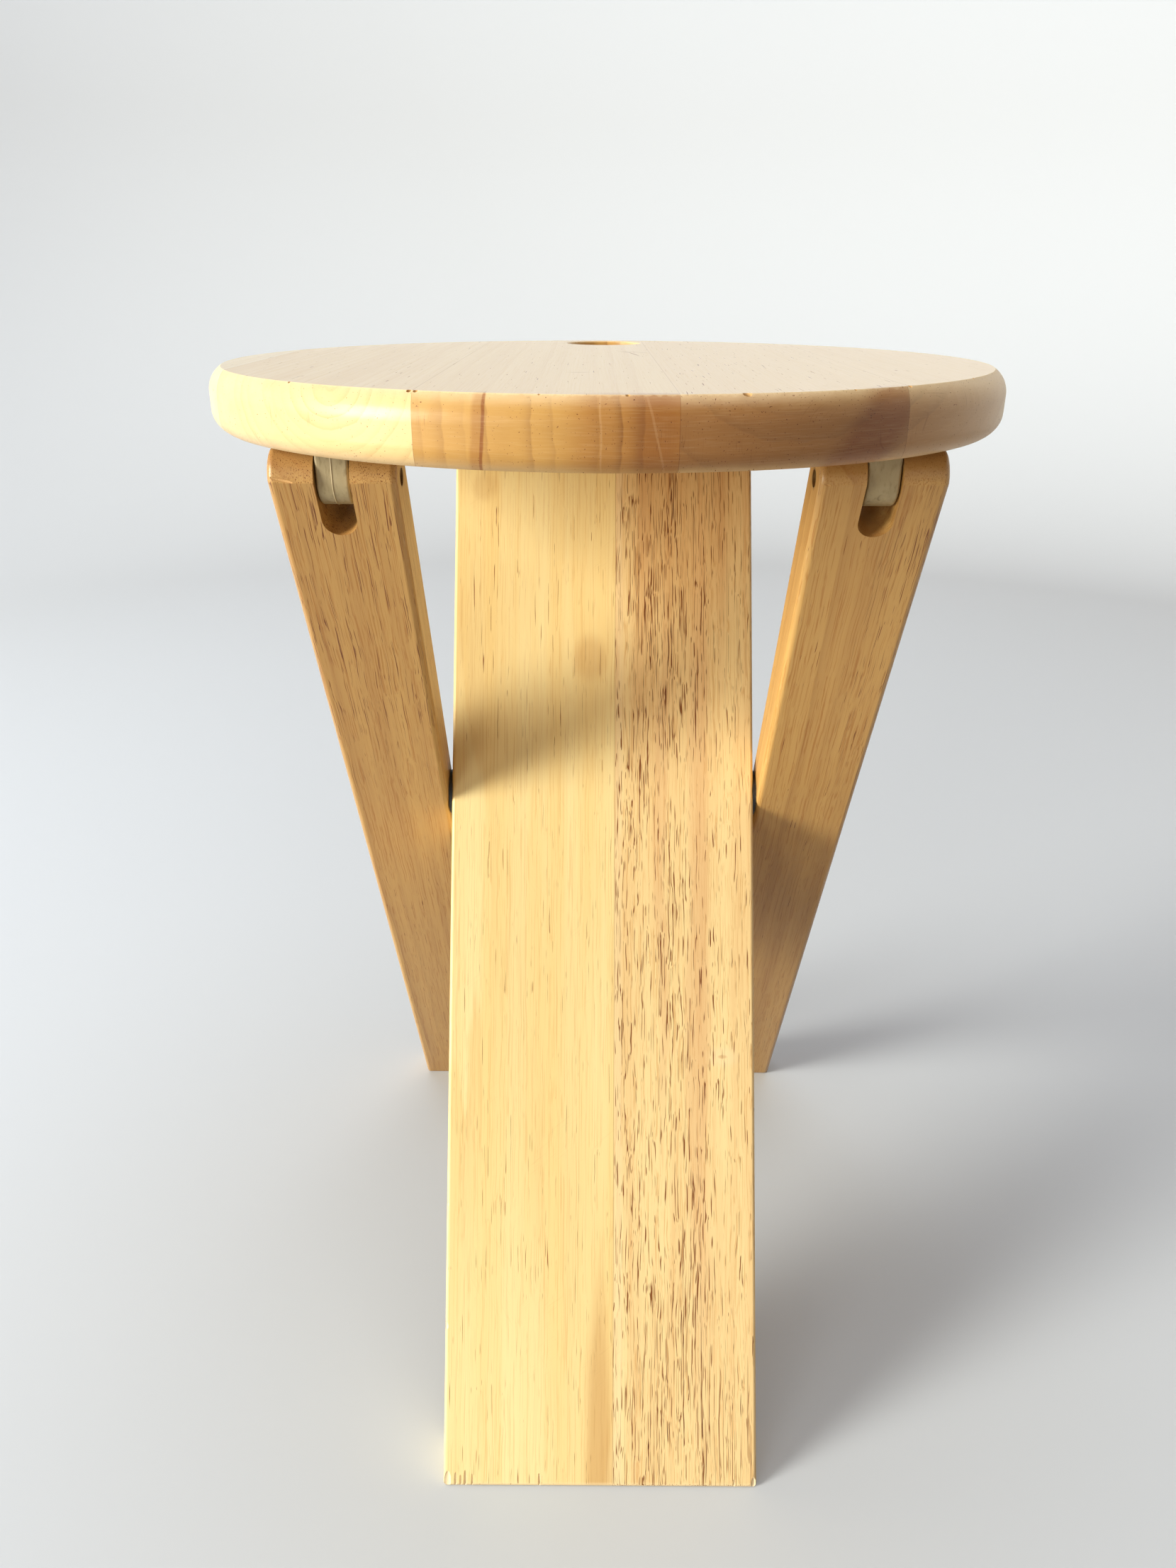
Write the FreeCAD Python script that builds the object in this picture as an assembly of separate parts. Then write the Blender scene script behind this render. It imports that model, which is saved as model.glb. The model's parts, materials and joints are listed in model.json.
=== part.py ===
import FreeCAD, Part
import math
import os

# Folding stool: a round seat on a wide centre leg and two narrow side legs that cross like an X.
# Millimetres. X to the sitter's right, Y to the rear, Z up, origin on the floor under the seat's centre.

# Seat: a round board glued from staves whose grain runs front to rear
SEAT_DIAMETER = 300.0
SEAT_THICKNESS = 21.0
SEAT_HEIGHT = 450.0
RIM_TOP_INSET = 4.8
RIM_TOP_DROP = 8.5
RIM_BOTTOM_INSET = 4.0
RIM_BOTTOM_RISE = 6.5
MIDDLE_STAVE_WIDTH = 75.5
MIDDLE_STAVE_RIGHT_X = 19.0
LEFT_EDGE_STAVE_WIDTH = 17.5
RIGHT_EDGE_STAVE_WIDTH = 61.0

# Hole through the rear of the seat, to carry the stool by a finger or hang it on a peg
HANG_HOLE_DIAMETER = 35.0
HANG_HOLE_RIM_WOOD = 11.0
HANG_HOLE_EASE = 1.0

# Legs: one wide centre leg between two side legs, all of the same board
LEG_THICKNESS = 20.5
CENTRE_LEG_WIDTH = 136.0
CENTRE_LEG_JOINT_X = 5.5
CENTRE_LEG_TOP_GAP = 0.3
SIDE_LEG_WIDTH = 43.0
LEG_GAP = 1.5
FOOT_REACH = 152.0
LEG_EDGE_ROUND = 1.5
SIDE_LEG_EDGE_ROUND = 2.5

# Seat hinge: a moulded leaf under the seat, on a pin in the slotted nose of each side leg
HINGE_REACH = 83.0
PIN_FORWARD = 0.5
NOSE_CLEARANCE = 0.4
SLOT_WIDTH = 12.0
SLOT_DEPTH = 17.0
PIN_DIAMETER = 6.0
PIN_RECESS = 4.0
PIN_END_WALL = 4.0
PIN_CHAMFER = 0.5
LEAF_SIDE_CLEARANCE = 0.5
LEAF_EYE_RADIUS = 9.0
LEAF_EDGE_ROUND = 1.0
FOOT_PLATE_THICKNESS = 4.0
FOOT_PLATE_CORNER = 4.0
GUSSET_REACH = 8.0
HINGE_SCREW_SPACING = 18.0
HINGE_SCREW_BITE = 12.0

# Stops: two blocks under the seat that the centre leg's top edge bears against
STOP_WIDTH = 36.0
STOP_DEPTH = 24.0
STOP_HEIGHT = 18.0
STOP_HOLE_MARGIN = 6.0
STOP_CLEARANCE = 0.3
STOP_EDGE_ROUND = 2.0
STOP_SCREW_SPACING = 20.0
STOP_SCREW_BITE = 12.0

# Countersunk wood screws
SCREW_SHANK_DIAMETER = 3.5
SCREW_HEAD_DIAMETER = 7.0
SCREW_TIP_LENGTH = 3.0
SCREW_MARGIN = 4.0
CROSS_RECESS_LENGTH = 3.8
CROSS_RECESS_WIDTH = 0.9
CROSS_RECESS_DEPTH = 1.4

# Leg pivot: a shouldered bolt through each side leg into a sleeve in the centre leg's edge
SHOULDER_DIAMETER = 8.0
BOLT_HEAD_DIAMETER = 14.0
BOLT_HEAD_HEIGHT = 4.0
BOLT_HEAD_RECESS = 0.8
BOLT_HEAD_CLEARANCE = 0.5
BOLT_HEAD_CHAMFER = 0.6
HEX_KEY_WIDTH = 5.0
HEX_KEY_DEPTH = 2.6
HEX_SIDES = 6
THREAD_DIAMETER = 6.0
THREAD_END_GAP = 2.0
SLEEVE_DIAMETER = 10.0
SLEEVE_LENGTH = 18.0
SPACER_DIAMETER = 20.0
SPACER_CLEARANCE = 0.1

# Clearance of each shaft that turns in a hole, on the radius, and how far cutting tools run past a face
RUNNING_CLEARANCE = 0.05
CUT_MARGIN = 5.0

# Places worked out from the sizes above
SEAT_RADIUS = SEAT_DIAMETER / 2
UNDERSIDE = SEAT_HEIGHT - SEAT_THICKNESS
HANG_HOLE_Y = SEAT_RADIUS - HANG_HOLE_RIM_WOOD - HANG_HOLE_DIAMETER / 2
SIDE_LEG_INNER_X = CENTRE_LEG_WIDTH / 2 + LEG_GAP
SIDE_LEG_OUTER_X = SIDE_LEG_INNER_X + SIDE_LEG_WIDTH
SIDE_LEG_X = (SIDE_LEG_INNER_X + SIDE_LEG_OUTER_X) / 2
NOSE_RADIUS = LEG_THICKNESS / 2 + PIN_FORWARD
PIN_SETBACK = LEG_THICKNESS / 2 - PIN_FORWARD
PIN_Y = -HINGE_REACH
PIN_Z = UNDERSIDE - NOSE_RADIUS - NOSE_CLEARANCE
LEAF_THICKNESS = SLOT_WIDTH - 2 * LEAF_SIDE_CLEARANCE
FOOT_PLATE_FRONT = PIN_Y + NOSE_RADIUS + NOSE_CLEARANCE
FOOT_PLATE_LENGTH = GUSSET_REACH + SCREW_HEAD_DIAMETER + 2 * SCREW_MARGIN
FOOT_PLATE_WIDTH = HINGE_SCREW_SPACING + SCREW_HEAD_DIAMETER + 2 * SCREW_MARGIN
SCREW_HEAD_DEPTH = (SCREW_HEAD_DIAMETER - SCREW_SHANK_DIAMETER) / 2

# Lean of the legs from the upright: a side leg's rear face starts at the rear of its foot and
# passes the hinge pin at the nose's radius
HINGE_RUN = FOOT_REACH + HINGE_REACH
LEAN = math.atan2(HINGE_RUN, PIN_Z) - math.asin(NOSE_RADIUS / math.hypot(HINGE_RUN, PIN_Z))
FOOT_DEPTH = LEG_THICKNESS / math.cos(LEAN)
PIVOT_Z = (FOOT_REACH - FOOT_DEPTH / 2) / math.tan(LEAN)
CENTRE_LEG_TOP = UNDERSIDE - CENTRE_LEG_TOP_GAP
CENTRE_LEG_TOP_FRONT = CENTRE_LEG_TOP * math.tan(LEAN) - FOOT_REACH
CENTRE_LEG_TOP_REAR = CENTRE_LEG_TOP_FRONT + FOOT_DEPTH
STOP_INNER_X = HANG_HOLE_DIAMETER / 2 + STOP_HOLE_MARGIN
STOP_FRONT_Y = CENTRE_LEG_TOP_REAR + STOP_CLEARANCE

ORIGIN = FreeCAD.Vector(0, 0, 0)
X_AXIS = FreeCAD.Vector(1, 0, 0)
Z_AXIS = FreeCAD.Vector(0, 0, 1)
UP_THE_LEG = FreeCAD.Vector(0, -math.sin(LEAN), math.cos(LEAN))
BEHIND_THE_LEG = FreeCAD.Vector(0, math.cos(LEAN), math.sin(LEAN))
PIN_CENTRE = FreeCAD.Vector(0, PIN_Y, PIN_Z)


def side_point(y, z):
    """A point of a side-view outline."""
    return FreeCAD.Vector(0, y, z)


def line(start, end):
    return Part.LineSegment(start, end).toShape()


def arc(start, middle, end):
    return Part.Arc(start, middle, end).toShape()


def across(edges, x_low, x_high):
    """A side-view outline, as a solid from one X to another."""
    face = Part.Face(Part.Wire(edges))
    face.translate(X_AXIS * x_low)
    return face.extrude(X_AXIS * (x_high - x_low))


def turned(edges):
    """Half an upright section, turned about the Z axis into a solid."""
    return Part.Face(Part.Wire(edges)).revolve(ORIGIN, Z_AXIS, 360)


def rod(diameter, x_low, x_high, y, z):
    """A cylinder along X."""
    return Part.makeCylinder(diameter / 2, x_high - x_low, FreeCAD.Vector(x_low, y, z), X_AXIS)


def block(low, high):
    """A box between two corners."""
    size = [b - a for a, b in zip(low, high)]
    return Part.makeBox(*size, FreeCAD.Vector(*low))


def mirrored(shape):
    """The left-hand piece of a right-hand one."""
    return shape.mirror(ORIGIN, X_AXIS)


def bulge(corner_r, corner_z, rim_z):
    """The curve from a face's crisp edge out to the rim, upright where it meets it."""
    inset = SEAT_RADIUS - corner_r
    drop = abs(corner_z - rim_z)
    radius = (inset ** 2 + drop ** 2) / (2 * inset)
    half_turn = math.asin(drop / radius) / 2
    middle_z = rim_z + math.copysign(radius * math.sin(half_turn), corner_z - rim_z)
    middle_r = SEAT_RADIUS - radius * (1 - math.cos(half_turn))
    corner = FreeCAD.Vector(corner_r, 0, corner_z)
    rim = FreeCAD.Vector(SEAT_RADIUS, 0, rim_z)
    return corner, arc(corner, FreeCAD.Vector(middle_r, 0, middle_z), rim), rim


def seat_board():
    """The whole seat: a disc with a bulging rim between two crisp-edged faces."""
    rim_drop = SEAT_HEIGHT - RIM_TOP_DROP
    top, top_curve, rim_high = bulge(SEAT_RADIUS - RIM_TOP_INSET, SEAT_HEIGHT, rim_drop)
    rim_rise = UNDERSIDE + RIM_BOTTOM_RISE
    bottom, bottom_curve, rim_low = bulge(SEAT_RADIUS - RIM_BOTTOM_INSET, UNDERSIDE, rim_rise)
    top_centre = FreeCAD.Vector(0, 0, SEAT_HEIGHT)
    bottom_centre = FreeCAD.Vector(0, 0, UNDERSIDE)
    return turned([
        line(top_centre, top),
        top_curve,
        line(rim_high, rim_low),
        bottom_curve,
        line(bottom, bottom_centre),
        line(bottom_centre, top_centre),
    ])


def hang_hole():
    """The hole's cutter, with both of its mouths eased by a small quarter round."""
    wall = HANG_HOLE_DIAMETER / 2
    mouth = wall + HANG_HOLE_EASE
    bend = mouth - HANG_HOLE_EASE * math.cos(math.pi / 4)
    low, high = UNDERSIDE, SEAT_HEIGHT
    rise = HANG_HOLE_EASE * (1 - math.sin(math.pi / 4))
    corners = [FreeCAD.Vector(r, 0, z) for r, z in (
        (0, low), (mouth, low), (wall, low + HANG_HOLE_EASE),
        (wall, high - HANG_HOLE_EASE), (mouth, high), (0, high),
    )]
    cutter = turned([
        line(corners[0], corners[1]),
        arc(corners[1], FreeCAD.Vector(bend, 0, low + rise), corners[2]),
        line(corners[2], corners[3]),
        arc(corners[3], FreeCAD.Vector(bend, 0, high - rise), corners[4]),
        line(corners[4], corners[5]),
        line(corners[5], corners[0]),
    ])
    cutter.translate(FreeCAD.Vector(0, HANG_HOLE_Y, 0))
    return cutter


def seat_staves(screw_holes):
    """The seat sawn along its glue lines into named staves; the middle one has the hole."""
    edge = SEAT_RADIUS + CUT_MARGIN
    right_sides = {
        "left_edge": LEFT_EDGE_STAVE_WIDTH - SEAT_RADIUS,
        "left": MIDDLE_STAVE_RIGHT_X - MIDDLE_STAVE_WIDTH,
        "middle": MIDDLE_STAVE_RIGHT_X,
        "right": SEAT_RADIUS - RIGHT_EDGE_STAVE_WIDTH,
        "right_edge": edge,
    }
    board = seat_board().cut([hang_hole()] + screw_holes)
    staves = {}
    low_x = -edge
    for place, high_x in right_sides.items():
        low = (low_x, -edge, UNDERSIDE - CUT_MARGIN)
        high = (high_x, edge, SEAT_HEIGHT + CUT_MARGIN)
        staves[f"seat_stave_{place}"] = board.common(block(low, high))
        low_x = high_x
    return staves


def wood_screw(x, y, head_z, bite):
    """A countersunk screw driven upwards: the turned body that fills its hole, and the screw."""
    head = SCREW_HEAD_DIAMETER / 2
    shank = SCREW_SHANK_DIAMETER / 2
    end = UNDERSIDE - head_z + bite
    corners = [FreeCAD.Vector(r, 0, z) for r, z in (
        (0, 0), (head, 0), (shank, SCREW_HEAD_DEPTH), (shank, end - SCREW_TIP_LENGTH), (0, end),
    )]
    body = turned(Part.makePolygon(corners + corners[:1]).Edges)
    half_length = CROSS_RECESS_LENGTH / 2
    half_width = CROSS_RECESS_WIDTH / 2
    recess = [
        block((-x_half, -y_half, -CUT_MARGIN), (x_half, y_half, CROSS_RECESS_DEPTH))
        for x_half, y_half in ((half_length, half_width), (half_width, half_length))
    ]
    screw = body.cut(recess)
    place = FreeCAD.Vector(x, y, head_z)
    body.translate(place)
    screw.translate(place)
    return body, screw


def side_leg():
    """The right side leg: level foot, round slotted nose, blind pin hole and counterbored pivot hole."""
    rear_foot = side_point(FOOT_REACH, 0)
    front_foot = side_point(FOOT_REACH - FOOT_DEPTH, 0)
    nose_rise = math.sqrt(NOSE_RADIUS ** 2 - PIN_SETBACK ** 2)
    nose_front = PIN_CENTRE - BEHIND_THE_LEG * PIN_SETBACK + UP_THE_LEG * nose_rise
    nose_end = PIN_CENTRE + UP_THE_LEG * NOSE_RADIUS
    nose_rear = PIN_CENTRE + BEHIND_THE_LEG * NOSE_RADIUS
    leg = across([
        line(front_foot, nose_front),
        arc(nose_front, nose_end, nose_rear),
        line(nose_rear, rear_foot),
        line(rear_foot, front_foot),
    ], SIDE_LEG_INNER_X, SIDE_LEG_OUTER_X)
    long_edges = [e for e in leg.Edges if not is_foot_edge(e) and not is_nose_line(e, nose_front, nose_rear)]
    leg = leg.makeFillet(SIDE_LEG_EDGE_ROUND, long_edges)
    leg = leg.makeFillet(LEG_EDGE_ROUND, [e for e in leg.Edges if is_foot_edge(e)])
    head_seat = SIDE_LEG_OUTER_X - BOLT_HEAD_RECESS - BOLT_HEAD_HEIGHT - SPACER_CLEARANCE
    return leg.cut([
        nose_slot(),
        rod(PIN_DIAMETER, SIDE_LEG_INNER_X - CUT_MARGIN, SIDE_LEG_OUTER_X - PIN_END_WALL, PIN_Y, PIN_Z),
        rod(SHOULDER_DIAMETER + 2 * RUNNING_CLEARANCE, SIDE_LEG_INNER_X - CUT_MARGIN,
            SIDE_LEG_OUTER_X, 0, PIVOT_Z),
        rod(BOLT_HEAD_DIAMETER + 2 * BOLT_HEAD_CLEARANCE, head_seat,
            SIDE_LEG_OUTER_X + CUT_MARGIN, 0, PIVOT_Z),
    ])


def is_foot_edge(edge):
    """Whether an edge lies on the floor, round a leg's foot."""
    return edge.BoundBox.ZMax < LEG_EDGE_ROUND / 2


def is_nose_line(edge, *ends):
    """Whether an edge is one of the lines across the leg where the nose's arc starts and stops."""
    middle = edge.CenterOfMass
    off = [FreeCAD.Vector(0, middle.y, middle.z).distanceToPoint(p) for p in ends]
    return min(off) < LEG_EDGE_ROUND / 2


def nose_slot():
    """The slot's cutter: open at the nose, round at the bottom, through the leg from front to rear."""
    radius = SLOT_WIDTH / 2
    length = SLOT_DEPTH + NOSE_RADIUS + CUT_MARGIN
    side = X_AXIS * radius
    start = PIN_CENTRE + X_AXIS * SIDE_LEG_X - BEHIND_THE_LEG * (LEG_THICKNESS + CUT_MARGIN)
    bottom = start - UP_THE_LEG * SLOT_DEPTH
    bend = bottom + UP_THE_LEG * radius
    mouth = bottom + UP_THE_LEG * length
    outline = Part.Wire([
        arc(bend - side, bottom, bend + side),
        line(bend + side, mouth + side),
        line(mouth + side, mouth - side),
        line(mouth - side, bend - side),
    ])
    return Part.Face(outline).extrude(BEHIND_THE_LEG * 2 * (LEG_THICKNESS + CUT_MARGIN))


def centre_leg():
    """The left and right boards of the centre leg, with a bore for the pivot's sleeve in each edge."""
    half = CENTRE_LEG_WIDTH / 2
    outline = [
        side_point(-FOOT_REACH, 0),
        side_point(FOOT_DEPTH - FOOT_REACH, 0),
        side_point(CENTRE_LEG_TOP_REAR, CENTRE_LEG_TOP),
        side_point(CENTRE_LEG_TOP_FRONT, CENTRE_LEG_TOP),
    ]
    leg = across(Part.makePolygon(outline + outline[:1]).Edges, -half, half)
    leg = leg.makeFillet(LEG_EDGE_ROUND, leg.Edges)
    bore = rod(SLEEVE_DIAMETER, half - SLEEVE_LENGTH, half + CUT_MARGIN, 0, PIVOT_Z)
    leg = leg.cut([bore, mirrored(bore)])
    low = (-half - CUT_MARGIN, -FOOT_REACH - CUT_MARGIN, -CUT_MARGIN)
    high = (CENTRE_LEG_JOINT_X, CENTRE_LEG_TOP_REAR + CUT_MARGIN, CENTRE_LEG_TOP + CUT_MARGIN)
    left_of_joint = block(low, high)
    return leg.common(left_of_joint), leg.cut(left_of_joint)


def hinge_pin():
    pin = rod(PIN_DIAMETER, SIDE_LEG_INNER_X + PIN_RECESS, SIDE_LEG_OUTER_X - PIN_END_WALL, PIN_Y, PIN_Z)
    rims = [e for e in pin.Edges if e.Closed]
    return pin.makeChamfer(PIN_CHAMFER, rims)


def hinge_leaf(screw_holes):
    """The right hinge leaf: an eye round the pin, a web up to the seat, a gusset and a foot plate."""
    half = LEAF_THICKNESS / 2
    front = PIN_Y - LEAF_EYE_RADIUS
    rear = PIN_Y + LEAF_EYE_RADIUS
    plate_z = UNDERSIDE - FOOT_PLATE_THICKNESS
    gusset_end = FOOT_PLATE_FRONT + GUSSET_REACH
    corners = [
        side_point(rear, PIN_Z),
        side_point(gusset_end, plate_z),
        side_point(gusset_end, UNDERSIDE),
        side_point(front, UNDERSIDE),
        side_point(front, PIN_Z),
    ]
    eye = arc(corners[4], side_point(PIN_Y, PIN_Z - LEAF_EYE_RADIUS), corners[0])
    sides = [line(a, b) for a, b in zip(corners[:-1], corners[1:])]
    web = across(sides + [eye], SIDE_LEG_X - half, SIDE_LEG_X + half)
    web = web.makeFillet(LEAF_EDGE_ROUND, [e for e in web.Edges if is_eye_edge(e)])
    plate = block(
        (SIDE_LEG_X - FOOT_PLATE_WIDTH / 2, FOOT_PLATE_FRONT, plate_z),
        (SIDE_LEG_X + FOOT_PLATE_WIDTH / 2, FOOT_PLATE_FRONT + FOOT_PLATE_LENGTH, UNDERSIDE),
    )
    plate = plate.makeFillet(FOOT_PLATE_CORNER, [e for e in plate.Edges if is_upright(e)])
    bore = rod(PIN_DIAMETER + 2 * RUNNING_CLEARANCE, SIDE_LEG_INNER_X, SIDE_LEG_OUTER_X, PIN_Y, PIN_Z)
    return web.fuse(plate).removeSplitter().cut([bore] + screw_holes)


def is_eye_edge(edge):
    """Whether an edge runs down the front or round the bottom of the leaf's web, and not across it."""
    middle = edge.CenterOfMass
    along_the_side = edge.BoundBox.XLength < LEAF_THICKNESS / 2
    return along_the_side and (middle.y < PIN_Y or middle.z < PIN_Z)


def is_upright(edge):
    """Whether an edge runs along Z."""
    box = edge.BoundBox
    return box.ZLength > box.XLength + box.YLength


def hinge_screws():
    """The hole fillers and the screws that hold the right hinge leaf to the seat, side by side."""
    y = FOOT_PLATE_FRONT + GUSSET_REACH + SCREW_MARGIN + SCREW_HEAD_DIAMETER / 2
    places = [SIDE_LEG_X - HINGE_SCREW_SPACING / 2, SIDE_LEG_X + HINGE_SCREW_SPACING / 2]
    return [wood_screw(x, y, UNDERSIDE - FOOT_PLATE_THICKNESS, HINGE_SCREW_BITE) for x in places]


def stop_screws():
    """The hole fillers and the screws that hold the right stop block to the seat."""
    middle = STOP_INNER_X + STOP_WIDTH / 2
    y = STOP_FRONT_Y + STOP_DEPTH / 2
    places = [middle - STOP_SCREW_SPACING / 2, middle + STOP_SCREW_SPACING / 2]
    return [wood_screw(x, y, UNDERSIDE - STOP_HEIGHT, STOP_SCREW_BITE) for x in places]


def stop_block(screw_holes):
    """The right stop block: a small wooden cleat with its lower edges rounded."""
    low = (STOP_INNER_X, STOP_FRONT_Y, UNDERSIDE - STOP_HEIGHT)
    high = (STOP_INNER_X + STOP_WIDTH, STOP_FRONT_Y + STOP_DEPTH, UNDERSIDE)
    cleat = block(low, high)
    lower_edges = [e for e in cleat.Edges if e.BoundBox.ZMax < UNDERSIDE - STOP_EDGE_ROUND]
    return cleat.makeFillet(STOP_EDGE_ROUND, lower_edges).cut(screw_holes)


def pivot_bolt():
    """The right pivot bolt: a recessed socket head, a shoulder through the leg, a thread in the sleeve."""
    half = CENTRE_LEG_WIDTH / 2
    head_outer = SIDE_LEG_OUTER_X - BOLT_HEAD_RECESS
    head_inner = head_outer - BOLT_HEAD_HEIGHT
    head = rod(BOLT_HEAD_DIAMETER, head_inner, head_outer, 0, PIVOT_Z)
    outer_rim = [e for e in head.Edges if e.BoundBox.XMin > head_inner + BOLT_HEAD_CHAMFER]
    head = head.makeChamfer(BOLT_HEAD_CHAMFER, outer_rim)
    shoulder = rod(SHOULDER_DIAMETER, half, head_inner, 0, PIVOT_Z)
    thread = rod(THREAD_DIAMETER, half - SLEEVE_LENGTH + THREAD_END_GAP, half, 0, PIVOT_Z)
    corner = HEX_KEY_WIDTH / 2 / math.cos(math.pi / HEX_SIDES)
    turns = [math.tau * n / HEX_SIDES for n in range(HEX_SIDES + 1)]
    corners = [side_point(corner * math.cos(t), PIVOT_Z + corner * math.sin(t)) for t in turns]
    hexagon = Part.makePolygon(corners).Edges
    socket = across(hexagon, head_outer - HEX_KEY_DEPTH, head_outer + CUT_MARGIN)
    return head.fuse([shoulder, thread]).cut(socket)


def pivot_sleeve():
    """The right threaded sleeve, flush with the centre leg's edge."""
    half = CENTRE_LEG_WIDTH / 2
    deep = half - SLEEVE_LENGTH
    outside = rod(SLEEVE_DIAMETER, deep, half, 0, PIVOT_Z)
    return outside.cut(rod(THREAD_DIAMETER, deep - CUT_MARGIN, half + CUT_MARGIN, 0, PIVOT_Z))


def pivot_spacer():
    """The right spacer washer, against the centre leg's edge."""
    inner = CENTRE_LEG_WIDTH / 2
    outer = SIDE_LEG_INNER_X - SPACER_CLEARANCE
    washer = rod(SPACER_DIAMETER, inner, outer, 0, PIVOT_Z)
    bore = SHOULDER_DIAMETER + 2 * RUNNING_CLEARANCE
    return washer.cut(rod(bore, inner - CUT_MARGIN, outer + CUT_MARGIN, 0, PIVOT_Z))


os.makedirs("parts", exist_ok=True)


def save(node, *shapes):
    """One node, of one solid or a group of separate ones."""
    solids = [solid for shape in shapes for solid in shape.Solids]
    piece = solids[0] if len(solids) == 1 else Part.makeCompound(solids)
    piece.exportStep(f"parts/{node}.step")


def save_pair(name, *shapes):
    """A right-hand node and its mirrored left-hand one."""
    save(f"{name}_right", *shapes)
    save(f"{name}_left", *[mirrored(shape) for shape in shapes])


hinge_fillers, hinge_fasteners = zip(*hinge_screws())
stop_fillers, stop_fasteners = zip(*stop_screws())
right_fillers = list(hinge_fillers + stop_fillers)
seat_fillers = right_fillers + [mirrored(filler) for filler in right_fillers]

for stave_node, seat_stave in seat_staves(seat_fillers).items():
    save(stave_node, seat_stave)
save_pair("hinge_leaf", hinge_leaf(list(hinge_fillers)))
save_pair("hinge_screws", *hinge_fasteners)
save_pair("stop_block", stop_block(list(stop_fillers)))
save_pair("stop_screws", *stop_fasteners)

save_pair("side_leg", side_leg())
save_pair("hinge_pin", hinge_pin())

left_board, right_board = centre_leg()
save("centre_leg_left_board", left_board)
save("centre_leg_right_board", right_board)
save_pair("pivot_sleeve", pivot_sleeve())
save_pair("pivot_spacer", pivot_spacer())
save_pair("pivot_bolt", pivot_bolt())

print(f"lean {math.degrees(LEAN):.3f} deg, pivot z {PIVOT_Z:.3f}, pin y {PIN_Y:.3f} z {PIN_Z:.3f}")
print(f"centre leg top rear y {CENTRE_LEG_TOP_REAR:.3f}, foot depth {FOOT_DEPTH:.3f}")
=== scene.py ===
import bmesh
import bpy
import json
import math
import random
from mathutils import Matrix, Vector


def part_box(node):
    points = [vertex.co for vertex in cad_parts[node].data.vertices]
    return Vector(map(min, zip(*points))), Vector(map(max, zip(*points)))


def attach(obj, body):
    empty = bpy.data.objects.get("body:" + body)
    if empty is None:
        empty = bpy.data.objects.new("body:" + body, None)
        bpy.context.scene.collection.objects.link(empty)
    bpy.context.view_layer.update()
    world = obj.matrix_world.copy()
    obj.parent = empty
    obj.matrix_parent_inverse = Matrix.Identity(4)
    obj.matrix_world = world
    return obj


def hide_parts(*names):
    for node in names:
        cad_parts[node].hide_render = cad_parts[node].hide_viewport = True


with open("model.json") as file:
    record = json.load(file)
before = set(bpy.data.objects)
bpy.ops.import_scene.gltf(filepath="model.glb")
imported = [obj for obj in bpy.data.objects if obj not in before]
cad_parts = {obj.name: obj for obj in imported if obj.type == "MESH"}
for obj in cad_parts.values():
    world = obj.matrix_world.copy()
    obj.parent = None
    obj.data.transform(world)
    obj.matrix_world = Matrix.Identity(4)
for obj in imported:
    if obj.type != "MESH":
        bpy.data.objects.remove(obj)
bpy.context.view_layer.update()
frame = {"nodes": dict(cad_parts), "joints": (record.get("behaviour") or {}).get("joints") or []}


# Seat: five staves of pale plantation hardwood, edge-glued, turned to a round board with a bulging rim,
# sanded, and sprayed with clear satin lacquer. Each stave comes from its own log, so rings, tone and pores
# change at the glue lines; the rim shows end grain at the front and rear, and its top edge has taken knocks.

def add(tree, kind, sockets=None, **settings):
    """A shader node with its settings, and a value or a link for each named or numbered socket."""
    made = tree.nodes.new("ShaderNode" + kind)
    for name, value in settings.items():
        setattr(made, name, value)
    for key, value in (sockets or {}).items():
        if isinstance(value, bpy.types.NodeSocket):
            tree.links.new(value, made.inputs[key])
        else:
            made.inputs[key].default_value = value
    return made


def maths(tree, operation, *values):
    return add(tree, "Math", dict(enumerate(values)), operation=operation).outputs[0]


def vectors(tree, operation, *values):
    made = add(tree, "VectorMath", dict(enumerate(values)), operation=operation)
    return made.outputs["Value" if operation == "LENGTH" else "Vector"]


def noise(tree, vector, lump, detail=2.0):
    """Noise with lumps of the given size in millimetres along x, y and z."""
    scaled = vectors(tree, "DIVIDE", vector, lump)
    return add(tree, "TexNoise", {"Vector": scaled, "Scale": 1.0, "Detail": detail}).outputs


def ramp(tree, value, start, end):
    """A smooth climb from 0 at start to 1 at end."""
    sockets = {"Value": value, "From Min": start, "From Max": end}
    return add(tree, "MapRange", sockets, interpolation_type="SMOOTHSTEP").outputs[0]


def mix(tree, factor, first, second):
    return add(tree, "Mix", {0: factor, 6: first, 7: second}, data_type="RGBA").outputs[2]


def stain(tree, factor, colour, tint):
    """The colour darkened by a tint, as pores and lines darken wood."""
    sockets = {0: factor, 6: colour, 7: tint}
    return add(tree, "Mix", sockets, data_type="RGBA", blend_type="MULTIPLY").outputs[2]


def tone(red, green, blue):
    """A colour as a screen shows it, from 0 to 255, turned into the shader's linear light."""
    linear = [((c / 255 + 0.055) / 1.055) ** 2.4 for c in (red, green, blue)]
    return (*linear, 1.0)


def effect(name, inputs, outputs):
    """A new node group: its tree, its inputs by name, and its outputs by name."""
    tree = bpy.data.node_groups.new(name, "ShaderNodeTree")
    for label, start in inputs.items():
        kind = "NodeSocketFloat" if isinstance(start, float) else "NodeSocketVector"
        tree.interface.new_socket(label, in_out="INPUT", socket_type=kind).default_value = start
    for label in outputs:
        tree.interface.new_socket(label, in_out="OUTPUT", socket_type="NodeSocketFloat")
    return tree, tree.nodes.new("NodeGroupInput").outputs, tree.nodes.new("NodeGroupOutput").inputs


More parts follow.
